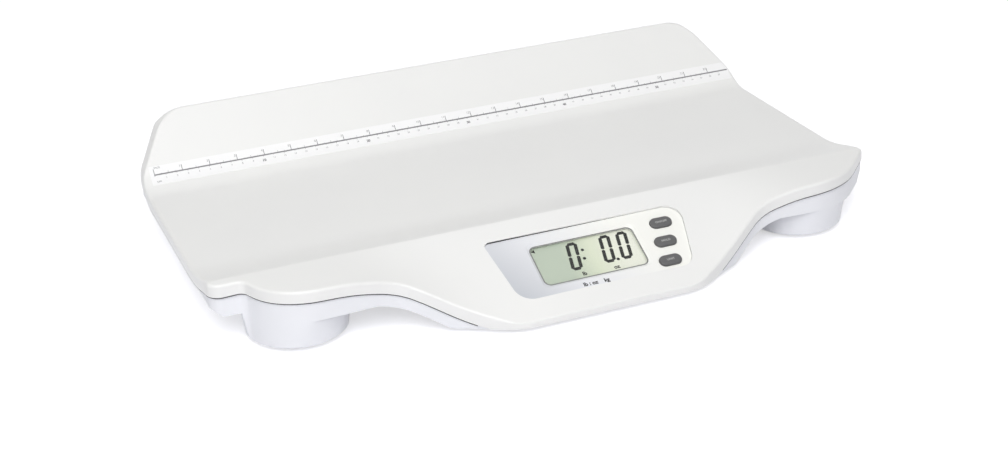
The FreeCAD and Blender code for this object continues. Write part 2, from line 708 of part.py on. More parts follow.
def contacts(springs):
    shapes = []
    for index in range(CELLS):
        turn = 1 if index % 2 else -1
        y = BATTERY_Y + (index - (CELLS - 1) / 2) * BATTERY_PITCH
        side = -turn if springs else turn
        shape = contact_plate(side, y)
        if springs:
            base = Vector(side * (box_half_x - CONTACT), y, battery_z)
            shape = shape.fuse(Part.makeCone(3.6, 2.4, SPRING, base, Vector(-side, 0, 0)))
        shapes.append(shape)
    return Part.makeCompound(shapes)


def battery_door():
    low, high = BLISTER_Z, BLISTER_Z + DOOR_THICK
    plate = box((-door_half, door_front, low), (door_half, door_back, high))
    tongues = box((-door_half - DOOR_TONGUE + DOOR_GAP, door_front, high - DOOR_TONGUE_THICK),
                  (door_half + DOOR_TONGUE - DOOR_GAP, door_back, high))
    grips = [box((-9, door_back - 8 - 3 * i, low - 0.7), (9, door_back - 7 - 3 * i, low + 0.5))
             for i in range(4)]
    return fused([plate, tongues] + grips)


# Console pieces

def display_panel():
    plate = prism(PANEL, panel_seat, panel_face)
    opening = rounded(LCD[:2], LCD[2:], LCD_R)
    cuts = [tapered(opening, panel_seat, panel_face, LCD_BEVEL)]
    cuts += [pill(place, KEY_GAP, panel_seat - 1, 0) for place in key_places]
    return on_console(plate.cut(fused(cuts)))


def lcd_window():
    return on_console(lcd_block(WINDOW_RIM, LCD_R + WINDOW_RIM, panel_seat - WINDOW_THICK, panel_seat))


def lcd_glass():
    return on_console(lcd_block(GLASS_RIM, 1.0, pad_face - GLASS_THICK, pad_face))


def lcd_holder():
    outer = lcd_block(GLASS_RIM + 0.2 + HOLDER_WALL, 2.0, board_face, pad_face)
    inner = lcd_block(GLASS_RIM + 0.2, 1.0, board_face - 1, pad_face + 1)
    return on_console(outer.cut(inner))


def backlight():
    low = pad_face - GLASS_THICK - BACKLIGHT_THICK
    corners = rounded((LCD[0] + 1, LCD[1] + 3), (LCD[2] - 1, LCD[3] - 1), 1)
    return on_console(prism(corners, low, low + BACKLIGHT_THICK))


def lcd_connector():
    """Striped rubber strip between the glass and the board."""
    return on_console(box((LCD[0] + 4, LCD[1] - 2, board_face),
                          (LCD[2] - 4, LCD[1] + 1, pad_face - GLASS_THICK)))


def main_board():
    board = prism(BOARD, board_back, board_face)
    holes = [disc(u, v, board_back - 1, board_face + 1, BOARD_SCREW_R + 0.3) for u, v in BOARD_POSTS]
    return on_console(board.cut(fused(holes)))


def main_chip():
    u, v = CHIP_AT
    long, wide, high = CHIP_SIZE
    return on_console(box((u - long / 2, v - wide / 2, board_back - high),
                          (u + long / 2, v + wide / 2, board_back)))


def buzzer():
    case = disc(*BUZZER_AT, board_back - BUZZER_HEIGHT, board_back, BUZZER_R)
    return on_console(case.cut(disc(*BUZZER_AT, board_back - BUZZER_HEIGHT - 1,
                                    board_back - BUZZER_HEIGHT + 1, 1)))


def board_screws():
    shapes = []
    for u, v in BOARD_POSTS:
        head = disc(u, v, board_back - 1.6, board_back, BOARD_SCREW_R + 1.1)
        shapes.append(on_console(head.fuse(disc(u, v, board_back, pad_face - 0.5, BOARD_SCREW_R))))
    return Part.makeCompound(shapes)


def keypad_mat():
    reach_u, reach_v = KEY_SIZE[0] / 2 - 1, KEY_SIZE[1] / 2
    first, last = key_places[0], key_places[-1]
    corners = [(first[0] - reach_u, first[1] + reach_v, 2), (last[0] - reach_u, last[1] - reach_v, 2),
               (last[0] + reach_u, last[1] - reach_v, 2), (first[0] + reach_u, first[1] + reach_v, 2)]
    mat = prism(corners, board_face, board_face + MAT_THICK)
    domes = [disc(u, v, board_face + MAT_THICK / 2, board_face + MAT_THICK + DOME_HEIGHT, DOME_R)
             for u, v in key_places]
    return on_console(fused([mat] + domes))


def key(place):
    """One key: crowned pill, retaining flange under the shell, and stem."""
    top = panel_face + KEY_RISE
    flange_top = pad_face - KEY_GAP
    stem_end = board_face + MAT_THICK + DOME_HEIGHT + KEY_TRAVEL + KEY_GAP
    cap = pill(place, 0, flange_top - KEY_FLANGE_THICK, top)
    crown = [e for e in cap.Edges if abs(e.CenterOfMass.z - top) < 0.01]
    cap = cap.makeChamfer(KEY_CROWN, crown)
    flange = pill(place, KEY_FLANGE, flange_top - KEY_FLANGE_THICK, flange_top)
    stem = disc(*place, stem_end, flange_top, KEY_STEM_R)
    return on_console(fused([cap, flange, stem]))


def measuring_tape():
    """Thin strip along the foot of the back wall."""
    left, right = -LENGTH / 2 + TAPE_END[0], LENGTH / 2 - TAPE_END[1]
    low, high = (WALL_FOOT_Y + v for v in TAPE_FROM_FOOT)
    span = box((left, low, 0), (right, high, HEIGHT))
    return span.common(under(-TAPE_THICK)).common(front_view(TAPE_EDGE)).cut(under(0))


# Everything, node by node

save("top_shell", top_shell())
save("bottom_shell", bottom_shell())
save("measuring_tape", measuring_tape())
save("display_panel", display_panel())
save("lcd_window", lcd_window())
save("lcd_glass", lcd_glass())
save("lcd_holder", lcd_holder())
save("lcd_connector", lcd_connector())
save("backlight", backlight())
save("main_board", main_board())
save("main_chip", main_chip())
save("buzzer", buzzer())
save("keypad_mat", keypad_mat())
save("board_screws", board_screws())
for key_name, key_place in zip(("top", "middle", "bottom"), key_places):
    save("button_" + key_name, key(key_place))
save("battery_door", battery_door())
for cell in range(CELLS):
    save("battery_%d" % (cell + 1), battery(cell))
save("battery_spring_contacts", contacts(springs=True))
save("battery_plate_contacts", contacts(springs=False))
for pod_name, pod_x, pod_y in pod_places:
    save("foot_seat_" + pod_name, foot_seat(pod_x, pod_y))
    save("rubber_foot_" + pod_name, disc(pod_x, pod_y, 0, SEAT_Z + RUBBER_SUNK, RUBBER_R - 0.2))
    save("load_cell_" + pod_name, load_cell(pod_x, pod_y))
cell_top = CELL_Z + CELL_SIZE[2]
save("load_cell_screws", Part.makeCompound([
    hung_screw(x + side * CELL_SCREW_X, y, cell_top, POD_Z + BOTTOM_WALL + 1, BOARD_SCREW_R, 2.6)
    for name, x, y in pod_places for side in (-1, 1)]))
save("case_screws", Part.makeCompound([
    screw(x, y, CASE_JOINT_Z - CASE_SEAT, CASE_SCREW_TOP, SCREW_R, SCREW_HEAD_R)
    for x, y in case_screws]))
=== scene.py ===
"""Digital baby weighing scale: finishes, printed scale, display marks and small parts around the
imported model, which stays the frame for all of them."""
import json
import math

import bpy
from mathutils import Matrix, Vector

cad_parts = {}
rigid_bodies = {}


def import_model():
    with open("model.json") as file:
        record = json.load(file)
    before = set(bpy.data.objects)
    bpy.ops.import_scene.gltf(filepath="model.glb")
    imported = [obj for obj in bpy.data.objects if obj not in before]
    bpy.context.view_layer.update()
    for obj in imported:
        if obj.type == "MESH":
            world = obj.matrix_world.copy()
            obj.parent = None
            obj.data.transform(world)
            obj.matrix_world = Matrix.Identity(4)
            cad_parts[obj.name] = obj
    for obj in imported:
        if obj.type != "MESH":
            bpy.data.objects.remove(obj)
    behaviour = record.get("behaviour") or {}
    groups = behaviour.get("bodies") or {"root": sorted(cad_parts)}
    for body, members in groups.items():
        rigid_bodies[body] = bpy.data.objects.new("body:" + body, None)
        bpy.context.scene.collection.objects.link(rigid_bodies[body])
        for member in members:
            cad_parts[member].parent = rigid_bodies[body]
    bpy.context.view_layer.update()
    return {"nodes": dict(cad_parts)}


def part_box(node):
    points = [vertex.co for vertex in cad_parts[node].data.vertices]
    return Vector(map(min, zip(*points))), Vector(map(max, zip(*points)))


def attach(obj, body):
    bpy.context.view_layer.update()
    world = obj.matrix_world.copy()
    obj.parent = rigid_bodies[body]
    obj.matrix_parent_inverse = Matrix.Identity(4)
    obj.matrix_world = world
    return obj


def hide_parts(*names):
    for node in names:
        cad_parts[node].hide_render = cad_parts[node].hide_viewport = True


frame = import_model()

nodes = frame["nodes"]
bpy.ops.object.select_all(action="DESELECT")


# Top shell: one glossy white ABS moulding with the tray, the back wall, the apron and the console
# nose. The mould was polished, so it reflects softly, with the slight waviness of a thin moulded
# wall. It is held to the bottom shell by eight screws from below.

ABS_WHITE = "#F5F5F3"
ABS_SHADE = "#F1F1F0"
FLOW_MM = 90.0          # slow colour drift of the moulding
WAVE_MM = 14.0          # waviness of the polished wall
WAVE_DEPTH_MM = 0.02
POLISHED_ROUGHNESS = 0.32
MERGED_WITHIN = 1e-6
SMOOTH_BELOW = 28       # degrees
FLAT_WITHIN = 0.05      # degrees, facets of one flat wall


def linear(code):
    """Linear colour of an sRGB hex value."""
    levels = [int(code[i:i + 2], 16) / 255 for i in (1, 3, 5)]
    return [v / 12.92 if v <= 0.04045 else ((v + 0.055) / 1.055) ** 2.4 for v in levels] + [1.0]


def add_node(material, kind, inputs=None, **settings):
    """Adds a node, sets it and links or fills its sockets."""
    node = material.node_tree.nodes.new(kind)
    for name, value in settings.items():
        setattr(node, name, value)
    for name, value in (inputs or {}).items():
        if isinstance(value, bpy.types.NodeSocket):
            material.node_tree.links.new(value, node.inputs[name])
        else:
            node.inputs[name].default_value = value
    return node


def finish(name, **sockets):
    """A new material and its shader, whose sockets are set by name, with _ for a space."""
    material = bpy.data.materials.new(name)
    material.use_nodes = True
    shader = material.node_tree.nodes["Principled BSDF"]
    for socket, value in sockets.items():
        shader.inputs[socket.replace("_", " ")].default_value = value
    return material, shader


def paint(piece, material):
    """Makes the material the piece's only one."""
    piece.data.materials.clear()
    piece.data.materials.append(material)


def two_tone(material, factor, code, other):
    """The socket of a colour that goes from one hex value to another with a factor."""
    mix = add_node(material, "ShaderNodeMix", {"Factor": factor}, data_type="RGBA")
    mix.inputs["A"].default_value = linear(code)
    mix.inputs["B"].default_value = linear(other)
    return mix.outputs["Result"]


def moulded_abs(name, light, shade, roughness, wave_mm, depth_mm):
    """Moulded plastic: slow drift between two near whites, and waviness or grain as bump."""
    material, shader = finish(name, Roughness=roughness, IOR=1.54)
    place = add_node(material, "ShaderNodeTexCoord").outputs["Object"]
    drift = add_node(material, "ShaderNodeTexNoise",
                     {"Vector": place, "Scale": 1000 / FLOW_MM, "Detail": 2.0})
    colour = two_tone(material, drift.outputs["Fac"], light, shade)
    grain = add_node(material, "ShaderNodeTexNoise",
                     {"Vector": place, "Scale": 1000 / wave_mm, "Detail": 3.0})
    bump = add_node(material, "ShaderNodeBump", {"Height": grain.outputs["Fac"],
                                                 "Distance": depth_mm / 1000, "Strength": 0.6})
    links = material.node_tree.links
    links.new(colour, shader.inputs["Base Color"])
    links.new(bump.outputs["Normal"], shader.inputs["Normal"])
    return material


def own_copy(source, name):
    """A free copy of a piece with its own mesh, selected alone."""
    piece = source.copy()
    piece.data = source.data.copy()
    piece.name = piece.data.name = name
    piece.parent = None
    for key in [k for k in piece.keys() if k.startswith("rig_")]:
        del piece[key]
    bpy.context.collection.objects.link(piece)
    bpy.ops.object.select_all(action="DESELECT")
    piece.select_set(True)
    bpy.context.view_layer.objects.active = piece
    return piece


def smoothed(node, name, body):
    """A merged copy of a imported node, with curved faces shaded smooth and edges kept sharp."""
    piece = own_copy(nodes[node], name)
    bpy.ops.object.mode_set(mode="EDIT")
    bpy.ops.mesh.select_all(action="SELECT")
    bpy.ops.mesh.remove_doubles(threshold=MERGED_WITHIN)
    bpy.ops.mesh.dissolve_limited(angle_limit=math.radians(FLAT_WITHIN), delimit=set())
    bpy.ops.mesh.select_mode(type="EDGE")
    bpy.ops.mesh.select_all(action="DESELECT")
    bpy.ops.mesh.edges_select_sharp(sharpness=math.radians(SMOOTH_BELOW))
    bpy.ops.mesh.mark_sharp()
    bpy.ops.object.mode_set(mode="OBJECT")
    bpy.ops.object.shade_smooth_by_angle(angle=math.radians(SMOOTH_BELOW), keep_sharp_edges=True)
    weigh = piece.modifiers.new("weigh", "WEIGHTED_NORMAL")
    weigh.keep_sharp = True
    bpy.ops.object.modifier_apply(modifier="weigh")
    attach(piece, body)
    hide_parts(node)
    return piece


polished_abs = moulded_abs("polished_white_abs", ABS_WHITE, ABS_SHADE, POLISHED_ROUGHNESS,
                           WAVE_MM, WAVE_DEPTH_MM)
cover = smoothed("top_shell", "tray_cover", "scale")
paint(cover, polished_abs)


# Bottom shell: the same white ABS from an eroded mould, so it is a little duller, with a fine
# grain. Its edge stands inside the cover's lip, and four round pods carry the feet.

BASE_WHITE = "#F4F5F9"
BASE_SHADE = "#F0F1F5"
GRAIN_MM = 1.2
GRAIN_DEPTH_MM = 0.03
ERODED_ROUGHNESS = 0.42
CORNERS = ("front_left", "front_right", "back_left", "back_right")

eroded_abs = moulded_abs("eroded_white_abs", BASE_WHITE, BASE_SHADE, ERODED_ROUGHNESS, GRAIN_MM,
                         GRAIN_DEPTH_MM)
base = smoothed("bottom_shell", "base_shell", "scale")
paint(base, eroded_abs)
for corner in CORNERS:
    paint(nodes["foot_seat_" + corner], eroded_abs)
paint(nodes["battery_door"], eroded_abs)


# Joint shadow: a thin dark cord laid in the gap between the two shells. It is painted shadow that
# stands in for the shade in that gap, and is not a real part. It follows the lower edge of the
# cover's lip, a little behind the lip's face.

JOINT_SHADOW_DARK = "#38393C"
JOINT_SHADOW_LIGHT = "#46474A"
JOINT_SHADOW_R = 0.00048
JOINT_SHADOW_BEHIND = 0.0005
JOINT_SHADOW_BELOW = 0.00048    # middle of the cord, below the lip
JOINT_SHADOW_NOSE_Z = 0.0050    # below this height, round the nose, the cord is left out
JOINT_SHADOW_END_Y = 0.145      # the ends of the cord, under the back wall
JOINT_SHADOW_SMOOTH_BELOW = 60  # degrees
FACES_DOWN = -0.75      # upward part of a lower edge's normal, at most
HAIR = 1e-6             # points this near count as being at one place
SPECK_DEPTH = 0.00003


def select_faces(piece, wanted):
    """Opens edit mode with the faces selected whose middle and normal pass a test."""
    bpy.ops.object.mode_set(mode="EDIT")
    bpy.ops.mesh.select_mode(type="FACE")
    bpy.ops.mesh.select_all(action="DESELECT")
    bpy.ops.object.mode_set(mode="OBJECT")
    for face in piece.data.polygons:
        face.select = wanted(face.center, face.normal)
    bpy.ops.object.mode_set(mode="EDIT")


def select_points(piece, wanted):
    """Opens edit mode with the points selected whose place passes a test."""
    bpy.ops.object.mode_set(mode="EDIT")
    bpy.ops.mesh.select_mode(type="VERT")
    bpy.ops.mesh.select_all(action="DESELECT")
    bpy.ops.object.mode_set(mode="OBJECT")
    for vertex in piece.data.vertices:
        vertex.select = wanted(vertex.co)
    bpy.ops.object.mode_set(mode="EDIT")


def speckled(name, code, other, roughness, speck_mm):
    """A dull moulded material with a fine two-tone speckle and a matching bump."""
    material, shader = finish(name, Roughness=roughness, IOR=1.5)
    place = add_node(material, "ShaderNodeTexCoord").outputs["Object"]
    specks = add_node(material, "ShaderNodeTexNoise",
                      {"Vector": place, "Scale": 1000 / speck_mm, "Detail": 2.0})
    tone = two_tone(material, specks.outputs["Fac"], code, other)
    bump = add_node(material, "ShaderNodeBump", {"Height": specks.outputs["Fac"],
                                                 "Distance": SPECK_DEPTH, "Strength": 0.5})
    material.node_tree.links.new(tone, shader.inputs["Base Color"])
    material.node_tree.links.new(bump.outputs["Normal"], shader.inputs["Normal"])
    return material


joint_shadow = own_copy(cover, "joint_shadow_strip")
select_faces(joint_shadow, lambda middle, normal: normal.z < FACES_DOWN)
bpy.ops.mesh.region_to_loop()
bpy.ops.mesh.select_all(action="INVERT")
bpy.ops.mesh.delete(type="EDGE")
bpy.ops.mesh.select_all(action="SELECT")
bpy.ops.mesh.delete_loose(use_verts=True, use_edges=False, use_faces=False)
bpy.ops.object.mode_set(mode="OBJECT")
select_points(joint_shadow, lambda place: place.y > JOINT_SHADOW_END_Y)
bpy.ops.mesh.delete(type="VERT")
bpy.ops.object.mode_set(mode="OBJECT")
foremost = min(vertex.co.y for vertex in joint_shadow.data.vertices)
select_points(joint_shadow, lambda place: place.y < foremost + HAIR)
bpy.ops.mesh.select_linked()
bpy.ops.mesh.select_all(action="INVERT")
bpy.ops.mesh.delete(type="VERT")
bpy.ops.object.mode_set(mode="OBJECT")
select_points(joint_shadow, lambda place: place.z < JOINT_SHADOW_NOSE_Z)
bpy.ops.mesh.delete(type="VERT")
bpy.ops.mesh.select_all(action="SELECT")
bpy.ops.transform.resize(value=(1 + JOINT_SHADOW_BEHIND / min(v.co.x for v in cover.data.vertices),
                                1 + JOINT_SHADOW_BEHIND / foremost, 1), center_override=(0, 0, 0))
bpy.ops.transform.translate(value=(0, 0, -JOINT_SHADOW_BELOW))
bpy.ops.object.mode_set(mode="OBJECT")
bpy.ops.object.convert(target="CURVE")
joint_shadow.data.bevel_depth = JOINT_SHADOW_R
joint_shadow.data.bevel_resolution = 1
joint_shadow.data.use_fill_caps = True
bpy.ops.object.convert(target="MESH")
joint_shadow.name = joint_shadow.data.name = "joint_shadow_strip"
bpy.ops.object.shade_smooth_by_angle(angle=math.radians(JOINT_SHADOW_SMOOTH_BELOW))
# Painted shadow: this dark cord stands in for the shade in the gap between the shells.
paint(joint_shadow, speckled("painted_joint_shadow", JOINT_SHADOW_DARK, JOINT_SHADOW_LIGHT, roughness=0.85, speck_mm=1.0))
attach(joint_shadow, "scale")


# Feet: thin discs of light grey rubber, cut from sheet and glued into the seats. Rubber is matt
# and picks up a little dust, which shows as a cloudy change of tone.

RUBBER_GREY = "#B9B9B6"
RUBBER_DUSTY = "#C6C5C1"
DUST_MM = 4.0

foot_rubber, shader = finish("cut_sheet_rubber", Roughness=0.85, IOR=1.5)
place = add_node(foot_rubber, "ShaderNodeTexCoord").outputs["Object"]
dust = add_node(foot_rubber, "ShaderNodeTexNoise",
                {"Vector": place, "Scale": 1000 / DUST_MM, "Detail": 4.0})
tone = two_tone(foot_rubber, dust.outputs["Fac"], RUBBER_GREY, RUBBER_DUSTY)
foot_rubber.node_tree.links.new(tone, shader.inputs["Base Color"])
for corner in CORNERS:
    paint(nodes["rubber_foot_" + corner], foot_rubber)


# Load cells and screws: stamped and zinc plated steel. Zinc plating is a bright bluish grey, and
# the stamped plates keep fine rolling lines, which also change how dull it is.

ZINC = "#B4B6B8"
ZINC_DARK = "#9C9EA1"
ROLL_MM = 0.8
ROLL_STRETCH = (0.05, 1.0, 1.0)     # the rolling lines run along X

zinc_steel, shader = finish("zinc_plated_steel", Metallic=1.0)
place = add_node(zinc_steel, "ShaderNodeTexCoord").outputs["Object"]
along = add_node(zinc_steel, "ShaderNodeMapping", {"Vector": place, "Scale": ROLL_STRETCH})
lines = add_node(zinc_steel, "ShaderNodeTexNoise",
                 {"Vector": along.outputs["Vector"], "Scale": 1000 / ROLL_MM, "Detail": 2.0})
tone = two_tone(zinc_steel, lines.outputs["Fac"], ZINC, ZINC_DARK)
dull = add_node(zinc_steel, "ShaderNodeMapRange",
                {"Value": lines.outputs["Fac"], "To Min": 0.28, "To Max": 0.42})
zinc_steel.node_tree.links.new(tone, shader.inputs["Base Color"])
zinc_steel.node_tree.links.new(dull.outputs["Result"], shader.inputs["Roughness"])
for name in (*("load_cell_" + corner for corner in CORNERS), "load_cell_screws", "case_screws",
             "board_screws"):
    paint(nodes[name], zinc_steel)


# Batteries and their contacts: four cells in a plain printed film jacket, dark blue with a
# copper band at the plus end, between nickel plated spring and plate contacts.

JACKET_BLUE = "#1F3358"
JACKET_BAND = "#B9773E"
CELL_STEEL = "#A9A7A2"
BAND_MM = 9.0           # end of the band, from the plus end
CELL_EDGE_MM = 1.2      # bare steel left at both ends
CELL_LONG_MM = 44.5
RAMP_MM = 50.0          # length that the jacket's colour ramp covers
NICKEL = "#BBB6AB"
NICKEL_CLOUD_MM = 3.0

nickel_steel, shader = finish("nickel_plated_spring_steel", Metallic=1.0)
place = add_node(nickel_steel, "ShaderNodeTexCoord").outputs["Object"]
cloud = add_node(nickel_steel, "ShaderNodeTexNoise", {"Vector": place,
                                                       "Scale": 1000 / NICKEL_CLOUD_MM})
dull = add_node(nickel_steel, "ShaderNodeMapRange",
                {"Value": cloud.outputs["Fac"], "To Min": 0.2, "To Max": 0.36})
nickel_steel.node_tree.links.new(dull.outputs["Result"], shader.inputs["Roughness"])
shader.inputs["Base Color"].default_value = linear(NICKEL)
for name in ("battery_spring_contacts", "battery_plate_contacts"):
    paint(nodes[name], nickel_steel)

for number in range(1, 5):
    low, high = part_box("battery_%d" % number)
    plus_right = number % 2 == 0
    plus = high.x if plus_right else low.x
    inward = -1 if plus_right else 1
    jacket, shader = finish("battery_jacket_%d" % number, Roughness=0.25, IOR=1.5,
                            Coat_Weight=0.3)
    place = add_node(jacket, "ShaderNodeTexCoord").outputs["Object"]
    x = add_node(jacket, "ShaderNodeSeparateXYZ", {"Vector": place}).outputs["X"]
    depth = add_node(jacket, "ShaderNodeMath", {0: x, 1: plus}, operation="SUBTRACT")
    depth_mm = add_node(jacket, "ShaderNodeMath", {0: depth.outputs["Value"], 1: 1000 * inward},
                        operation="MULTIPLY")
    part_way = add_node(jacket, "ShaderNodeMapRange",
                        {"Value": depth_mm.outputs["Value"], "From Max": RAMP_MM})
    ends = add_node(jacket, "ShaderNodeValToRGB", {"Fac": part_way.outputs["Result"]})
    ramp = ends.color_ramp
    ramp.interpolation = "CONSTANT"
    ramp.elements[0].position, ramp.elements[0].color = 0.0, linear(CELL_STEEL)
    ramp.elements[1].position, ramp.elements[1].color = (CELL_EDGE_MM / RAMP_MM,
                                                         linear(JACKET_BAND))
    for start, code in ((BAND_MM, JACKET_BLUE), (CELL_LONG_MM - CELL_EDGE_MM, CELL_STEEL)):
        stop = ramp.elements.new(start / RAMP_MM)
        stop.color = linear(code)
    jacket.node_tree.links.new(ends.outputs["Color"], shader.inputs["Base Color"])
    paint(nodes["battery_%d" % number], jacket)


# Circuit board, chip, buzzer, key mat and display holder: the works behind the console, on the
# cover's posts. Green solder mask over glass fibre, black moulded epoxy, grey silicone rubber.

MASK_GREEN = "#14522F"
MASK_LIGHT = "#1E6B3F"
TRACK_MM = 2.4
TRACK_EDGE = 0.42       # distance in its cell at which a track starts
EPOXY_BLACK = "#1A1A1C"
EPOXY_SHEEN = "#242427"
SILICONE_GREY = "#A3A39F"
SILICONE_LIGHT = "#ADADA8"
MILKY = "#E6E8E0"
MILKY_LIGHT = "#ECEEE6"

solder_mask, shader = finish("green_solder_mask", Roughness=0.35, IOR=1.5)
place = add_node(solder_mask, "ShaderNodeTexCoord").outputs["Object"]
tracks = add_node(solder_mask, "ShaderNodeTexVoronoi",
                  {"Vector": place, "Scale": 1000 / TRACK_MM}, distance="CHEBYCHEV")
edge = add_node(solder_mask, "ShaderNodeMath", {0: tracks.outputs["Distance"], 1: TRACK_EDGE},
                operation="GREATER_THAN")
tone = two_tone(solder_mask, edge.outputs["Value"], MASK_GREEN, MASK_LIGHT)
solder_mask.node_tree.links.new(tone, shader.inputs["Base Color"])
paint(nodes["main_board"], solder_mask)

epoxy = speckled("moulded_black_epoxy", EPOXY_BLACK, EPOXY_SHEEN, roughness=0.6, speck_mm=0.8)
silicone = speckled("grey_silicone_rubber", SILICONE_GREY, SILICONE_LIGHT, roughness=0.7,
                    speck_mm=1.5)
milky = speckled("milky_acrylic", MILKY, MILKY_LIGHT, roughness=0.5, speck_mm=6.0)
for name in ("main_chip", "buzzer", "lcd_holder", "lcd_connector"):
    paint(nodes[name], epoxy)
paint(nodes["keypad_mat"], silicone)
paint(nodes["backlight"], milky)


# Display panel: a printed fascia in a recess of the console. Its satin film runs from silver grey
# at the left to cream white around the keys, and is bevelled towards the display's opening.

CONSOLE_TILT = math.radians(26.0)
SILVER = "#C9CCD2"
SILVER_MIDDLE = "#EBECF0"
CREAM = "#FCFCF7"
SILVER_AT, MIDDLE_AT, CREAM_AT = 0.08, 0.33, 0.70     # along the change of tone, of 1
UPWARD = 0.7            # the tone also changes up the slope, by this much of the change along X
FLAKE_MM = 0.35
FLAKE_DEPTH = 0.00001
CONSOLE_ORIGIN = (0.0, -0.09245, 0.0556)    # on the crease, where the console's slope starts

panel_low, panel_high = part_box("display_panel")
console = Matrix.Translation(CONSOLE_ORIGIN) @ Matrix.Rotation(CONSOLE_TILT, 4, "X")

fascia, shader = finish("satin_printed_fascia", Roughness=0.38, IOR=1.5)
place = add_node(fascia, "ShaderNodeTexCoord").outputs["Object"]
slanted = add_node(fascia, "ShaderNodeVectorMath", {0: place, 1: (1.0, UPWARD, 0.0)},
                   operation="DOT_PRODUCT")
across = add_node(fascia, "ShaderNodeMapRange", {
    "Value": slanted.outputs["Value"], "From Min": panel_low.x + UPWARD * panel_low.y,
    "From Max": panel_high.x + UPWARD * panel_high.y})
blend = add_node(fascia, "ShaderNodeValToRGB", {"Fac": across.outputs["Result"]})
ramp = blend.color_ramp
ramp.elements[0].position, ramp.elements[0].color = SILVER_AT, linear(SILVER)
ramp.elements[1].position, ramp.elements[1].color = CREAM_AT, linear(CREAM)
middle = ramp.elements.new(MIDDLE_AT)
middle.color = linear(SILVER_MIDDLE)
flakes = add_node(fascia, "ShaderNodeTexNoise", {"Vector": place, "Scale": 1000 / FLAKE_MM})
bump = add_node(fascia, "ShaderNodeBump", {"Height": flakes.outputs["Fac"],
                                           "Distance": FLAKE_DEPTH, "Strength": 0.4})
fascia.node_tree.links.new(blend.outputs["Color"], shader.inputs["Base Color"])
fascia.node_tree.links.new(bump.outputs["Normal"], shader.inputs["Normal"])
paint(nodes["display_panel"], fascia)


# Fascia shadow: a thin dark strip in the gap along the fascia's upper edge. It is painted shadow
# that stands in for the shade under the recess's upper side, and is not a real part. It lies
# against the side of the recess, a little under the console's surface and lower at its right end.

FASCIA_SHADOW_BLACK = "#2E2E30"
FASCIA_SHADOW_LIGHT = "#3A3A3C"
STRIP_LEFT, STRIP_RIGHT = -0.0688, 0.0710
STRIP_FRONT, STRIP_BACK = -0.01947, -0.01930
STRIP_FOOT, STRIP_TOP = -0.0026, -0.0003
STRIP_FALL = 0.0017     # how much lower its right end is


def settle(piece):
    """Puts the object's place, turn and size into its mesh."""
    bpy.ops.object.select_all(action="DESELECT")
    piece.select_set(True)
    bpy.context.view_layer.objects.active = piece
    bpy.ops.object.transform_apply(location=True, rotation=True, scale=True)
    return piece


def on_console(piece):
    """Moves a piece made flat at the origin into the console's own plane."""
    piece.matrix_basis = console @ piece.matrix_basis
    return settle(piece)


bpy.ops.mesh.primitive_cube_add(size=1, location=(
    (STRIP_LEFT + STRIP_RIGHT) / 2, (STRIP_FRONT + STRIP_BACK) / 2, (STRIP_FOOT + STRIP_TOP) / 2))
fascia_shadow_strip = bpy.context.active_object
fascia_shadow_strip.name = fascia_shadow_strip.data.name = "fascia_shadow_strip"
fascia_shadow_strip.scale = (STRIP_RIGHT - STRIP_LEFT, STRIP_BACK - STRIP_FRONT, STRIP_TOP - STRIP_FOOT)
settle(fascia_shadow_strip)
select_points(fascia_shadow_strip, lambda place: place.x > 0 and place.z > (STRIP_FOOT + STRIP_TOP) / 2)
bpy.ops.transform.translate(value=(0, 0, -STRIP_FALL))
bpy.ops.object.mode_set(mode="OBJECT")
on_console(fascia_shadow_strip)
# Painted shadow: this dark strip stands in for the shade along the recess's upper edge.
paint(fascia_shadow_strip, speckled("painted_recess_shadow", FASCIA_SHADOW_BLACK, FASCIA_SHADOW_LIGHT, roughness=0.8,
                            speck_mm=1.0))
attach(fascia_shadow_strip, "scale")


# Display: a liquid crystal glass behind a clear acrylic window. The glass is greenish grey and
# turns yellower towards the right, where the light comes in, and its driven segments are black.

LCD_SHADE = "#BECAB8"
LCD_MIDDLE = "#E0E7CF"
LCD_LIGHT = "#EFF1E3"
SHADE_AT, HALF_AT, LIGHT_AT = 0.3, 0.55, 0.8     # along the glass, of its length
WINDOW_TINT = "#F4F8F0"
SEGMENT_BLACK = "#08090A"
GLASS_FACE = -0.0050    # the glass's face, below the console's surface
DIGIT_TALL = 0.0292
DIGIT_WIDE = 0.0107
SEGMENT = 0.0035
SEGMENT_GAP = 0.0003
LEAN = math.radians(10.5)
DIGITS = ((-0.0008, -0.0478), (0.0292, -0.0474), (0.0448, -0.0474))
COLON = ((0.0086, -0.0432), (0.0068, -0.0520))
POINT = (0.0340, -0.0600)
DOT = 0.0029
DOT_SIDES = 12
POINTER = (-0.0321, -0.0346)
POINTER_SIZE = 0.0044
POINTER_TURN = math.radians(90)
UNITS = (("lb", (0.0007, -0.0687)), ("oz", (0.0296, -0.0690)))
UNIT_TALL = 0.0037
UNIT_BOLD = 0.00018
CURVE_STEPS = 3         # steps in each curve of a letter
CAPITAL = 0.7           # height of a capital in the font, to its size
INK = 0.00004

